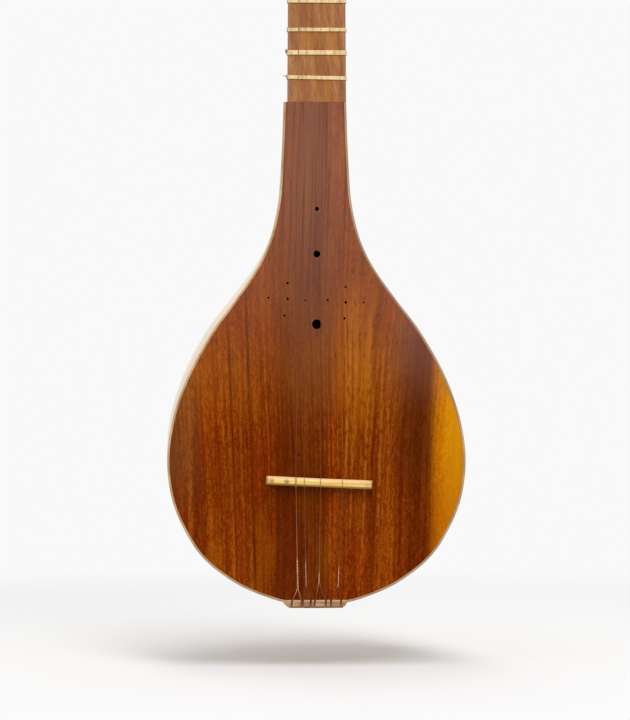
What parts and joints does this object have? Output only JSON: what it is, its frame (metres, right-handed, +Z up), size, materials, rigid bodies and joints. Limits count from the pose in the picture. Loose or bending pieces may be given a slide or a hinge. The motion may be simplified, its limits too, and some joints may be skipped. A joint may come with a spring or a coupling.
{
  "type": "setar",
  "caption": "Long-necked lute with a pear-shaped stave-built bowl, thin wooden soundboard, movable bridge, tied gut frets, wire strings and turning friction pegs.",
  "frame": {"origin": "centre of the flat end face of the tailpiece, at the bottom of the bowl", "axes": "+Z up the neck to the head, -Y out of the front of the soundboard, +X to the viewer's right"},
  "size_m": [0.1598, 0.1622, 0.8213],
  "materials": {
    "soundboard_wood": "satin oiled, fine straight grain, amber sapwood at one edge",
    "stave_wood": "glossy lacquer, pale mulberry",
    "stave_wood_dark": "glossy lacquer, darker mulberry",
    "edge_strip_wood": "satin",
    "neck_wood": "satin walnut",
    "block_wood": "bare",
    "nut_bone": "polished bone",
    "tailpiece_wood": "satin",
    "bridge_wood": "satin boxwood",
    "peg_wood": "polished",
    "fret_gut": "translucent waxed gut",
    "steel_wire": "bright drawn wire",
    "bronze_wire": "drawn wire"
  },
  "bodies": {
    "body": {"stave_1": "stave_wood", "stave_2": "stave_wood_dark", "stave_3": "stave_wood", "stave_4": "stave_wood_dark", "stave_5": "stave_wood", "stave_6": "stave_wood_dark", "stave_7": "stave_wood", "stave_8": "stave_wood_dark", "stave_9": "stave_wood", "soundboard": "soundboard_wood", "edge_strip_left": "edge_strip_wood", "edge_strip_right": "edge_strip_wood", "neck": "neck_wood", "neck_block": "block_wood", "tail_block": "block_wood", "brace_1": "block_wood", "brace_2": "block_wood", "nut": "nut_bone", "tailpiece": "tailpiece_wood", "string_bass": "bronze_wire", "string_drone": "steel_wire", "string_middle": "bronze_wire", "string_treble": "steel_wire"},
    "bridge": {"bridge": "bridge_wood"},
    "peg_bass": {"peg_bass": "peg_wood", "winding_bass": "bronze_wire"},
    "peg_drone": {"peg_drone": "peg_wood", "winding_drone": "steel_wire"},
    "peg_middle": {"peg_middle": "peg_wood", "winding_middle": "bronze_wire"},
    "peg_treble": {"peg_treble": "peg_wood", "winding_treble": "steel_wire"},
    "fret_1": {"fret_1": "fret_gut"},
    "fret_2": {"fret_2": "fret_gut"},
    "fret_3": {"fret_3": "fret_gut"},
    "fret_4": {"fret_4": "fret_gut"},
    "fret_5": {"fret_5": "fret_gut"},
    "fret_6": {"fret_6": "fret_gut"},
    "fret_7": {"fret_7": "fret_gut"},
    "fret_8": {"fret_8": "fret_gut"},
    "fret_9": {"fret_9": "fret_gut"},
    "fret_10": {"fret_10": "fret_gut"},
    "fret_11": {"fret_11": "fret_gut"},
    "fret_12": {"fret_12": "fret_gut"},
    "fret_13": {"fret_13": "fret_gut"},
    "fret_14": {"fret_14": "fret_gut"},
    "fret_15": {"fret_15": "fret_gut"},
    "fret_16": {"fret_16": "fret_gut"},
    "fret_17": {"fret_17": "fret_gut"},
    "fret_18": {"fret_18": "fret_gut"},
    "fret_19": {"fret_19": "fret_gut"},
    "fret_20": {"fret_20": "fret_gut"},
    "fret_21": {"fret_21": "fret_gut"},
    "fret_22": {"fret_22": "fret_gut"},
    "fret_23": {"fret_23": "fret_gut"},
    "fret_24": {"fret_24": "fret_gut"},
    "fret_25": {"fret_25": "fret_gut"},
    "fret_26": {"fret_26": "fret_gut"}
  },
  "joints": [
    {"name": "bridge_slide", "type": "slide", "parent": "body", "child": "bridge", "axis": [0, 0, 1], "range_m": [-0.0015, 0.003]},
    {"name": "peg_bass_turn", "type": "hinge", "parent": "body", "child": "peg_bass", "pos_m": [-0.01275, 0.00273, 0.75831], "axis": [-1, 0, 0], "continuous": true},
    {"name": "peg_drone_turn", "type": "hinge", "parent": "body", "child": "peg_drone", "pos_m": [-0.01275, 0.00273, 0.80137], "axis": [-1, 0, 0], "continuous": true},
    {"name": "peg_middle_turn", "type": "hinge", "parent": "body", "child": "peg_middle", "pos_m": [0.002, -0.00777, 0.73731], "axis": [0, -1, 0], "continuous": true},
    {"name": "peg_treble_turn", "type": "hinge", "parent": "body", "child": "peg_treble", "pos_m": [0.002, -0.00777, 0.77932], "axis": [0, -1, 0], "continuous": true},
    {"name": "fret_1_slide", "type": "slide", "parent": "body", "child": "fret_1", "axis": [0, 0, 1], "range_m": [-0.0025, 0.0025]},
    {"name": "fret_2_slide", "type": "slide", "parent": "body", "child": "fret_2", "axis": [0, 0, 1], "range_m": [-0.0025, 0.0025]},
    {"name": "fret_3_slide", "type": "slide", "parent": "body", "child": "fret_3", "axis": [0, 0, 1], "range_m": [-0.0025, 0.0025]},
    {"name": "fret_4_slide", "type": "slide", "parent": "body", "child": "fret_4", "axis": [0, 0, 1], "range_m": [-0.0025, 0.0025]},
    {"name": "fret_5_slide", "type": "slide", "parent": "body", "child": "fret_5", "axis": [0, 0, 1], "range_m": [-0.0025, 0.0025]},
    {"name": "fret_6_slide", "type": "slide", "parent": "body", "child": "fret_6", "axis": [0, 0, 1], "range_m": [-0.0025, 0.0025]},
    {"name": "fret_7_slide", "type": "slide", "parent": "body", "child": "fret_7", "axis": [0, 0, 1], "range_m": [-0.0025, 0.0025]},
    {"name": "fret_8_slide", "type": "slide", "parent": "body", "child": "fret_8", "axis": [0, 0, 1], "range_m": [-0.0025, 0.0025]},
    {"name": "fret_9_slide", "type": "slide", "parent": "body", "child": "fret_9", "axis": [0, 0, 1], "range_m": [-0.0025, 0.0025]},
    {"name": "fret_10_slide", "type": "slide", "parent": "body", "child": "fret_10", "axis": [0, 0, 1], "range_m": [-0.0025, 0.0025]},
    {"name": "fret_11_slide", "type": "slide", "parent": "body", "child": "fret_11", "axis": [0, 0, 1], "range_m": [-0.0025, 0.0025]},
    {"name": "fret_12_slide", "type": "slide", "parent": "body", "child": "fret_12", "axis": [0, 0, 1], "range_m": [-0.0025, 0.0025]},
    {"name": "fret_13_slide", "type": "slide", "parent": "body", "child": "fret_13", "axis": [0, 0, 1], "range_m": [-0.0025, 0.0025]},
    {"name": "fret_14_slide", "type": "slide", "parent": "body", "child": "fret_14", "axis": [0, 0, 1], "range_m": [-0.0025, 0.0025]},
    {"name": "fret_15_slide", "type": "slide", "parent": "body", "child": "fret_15", "axis": [0, 0, 1], "range_m": [-0.0025, 0.0025]},
    {"name": "fret_16_slide", "type": "slide", "parent": "body", "child": "fret_16", "axis": [0, 0, 1], "range_m": [-0.0025, 0.0025]},
    {"name": "fret_17_slide", "type": "slide", "parent": "body", "child": "fret_17", "axis": [0, 0, 1], "range_m": [-0.0025, 0.0025]},
    {"name": "fret_18_slide", "type": "slide", "parent": "body", "child": "fret_18", "axis": [0, 0, 1], "range_m": [-0.0025, 0.0025]},
    {"name": "fret_19_slide", "type": "slide", "parent": "body", "child": "fret_19", "axis": [0, 0, 1], "range_m": [-0.0025, 0.0025]},
    {"name": "fret_20_slide", "type": "slide", "parent": "body", "child": "fret_20", "axis": [0, 0, 1], "range_m": [-0.0025, 0.0025]},
    {"name": "fret_21_slide", "type": "slide", "parent": "body", "child": "fret_21", "axis": [0, 0, 1], "range_m": [-0.0025, 0.0025]},
    {"name": "fret_22_slide", "type": "slide", "parent": "body", "child": "fret_22", "axis": [0, 0, 1], "range_m": [-0.0025, 0.0025]},
    {"name": "fret_23_slide", "type": "slide", "parent": "body", "child": "fret_23", "axis": [0, 0, 1], "range_m": [-0.0025, 0.0025]},
    {"name": "fret_24_slide", "type": "slide", "parent": "body", "child": "fret_24", "axis": [0, 0, 1], "range_m": [-0.0025, 0.0025]},
    {"name": "fret_25_slide", "type": "slide", "parent": "body", "child": "fret_25", "axis": [0, 0, 1], "range_m": [-0.0025, 0.0025]},
    {"name": "fret_26_slide", "type": "slide", "parent": "body", "child": "fret_26", "axis": [0, 0, 1], "range_m": [-0.0025, 0.0025]}
  ]
}
